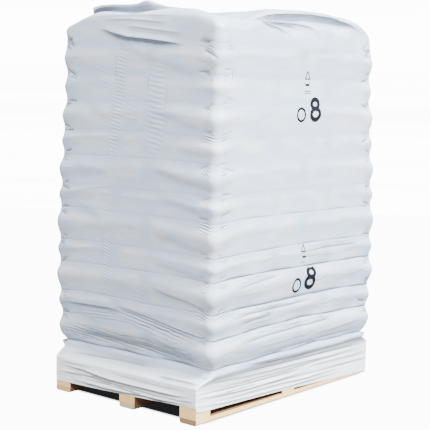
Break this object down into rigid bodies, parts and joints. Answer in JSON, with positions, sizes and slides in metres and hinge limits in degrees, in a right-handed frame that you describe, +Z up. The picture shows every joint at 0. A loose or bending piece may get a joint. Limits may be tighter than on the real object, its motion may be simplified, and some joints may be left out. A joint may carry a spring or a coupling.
{
  "type": "pallet of sacks",
  "caption": "Wooden pallet stacked with interlocked layers of filled plastic sacks under a stretched white film hood.",
  "frame": {"origin": "middle of the pallet's underside, on the floor", "axes": "+Z up, +X along the pallet's 1200 mm side, +Y along its 800 mm side"},
  "size_m": [1.203, 0.9076, 1.6326],
  "materials": {
    "pallet_boards": "sawn, unplaned",
    "pallet_blocks": "sawn, unplaned",
    "sack_film": "satin",
    "hood_film": "soft gloss, creased"
  },
  "bodies": {
    "root": {"runner_front": "pallet_boards", "runner_middle": "pallet_boards", "runner_back": "pallet_boards", "block_front_left": "pallet_blocks", "block_front_centre": "pallet_blocks", "block_front_right": "pallet_blocks", "block_middle_left": "pallet_blocks", "block_middle_centre": "pallet_blocks", "block_middle_right": "pallet_blocks", "block_back_left": "pallet_blocks", "block_back_centre": "pallet_blocks", "block_back_right": "pallet_blocks", "stringer_board_left": "pallet_boards", "stringer_board_centre": "pallet_boards", "stringer_board_right": "pallet_boards", "deck_board_1": "pallet_boards", "deck_board_2": "pallet_boards", "deck_board_3": "pallet_boards", "deck_board_4": "pallet_boards", "deck_board_5": "pallet_boards", "deck_board_6": "pallet_boards", "deck_board_7": "pallet_boards", "sack_layer_01": "sack_film", "sack_layer_02": "sack_film", "sack_layer_03": "sack_film", "sack_layer_04": "sack_film", "sack_layer_05": "sack_film", "sack_layer_06": "sack_film", "sack_layer_07": "sack_film", "sack_layer_08": "sack_film", "sack_layer_09": "sack_film", "sack_layer_10": "sack_film", "sack_layer_11": "sack_film", "sack_layer_12": "sack_film", "sack_layer_13": "sack_film", "stretch_hood": "hood_film"}
  },
  "joints": []
}
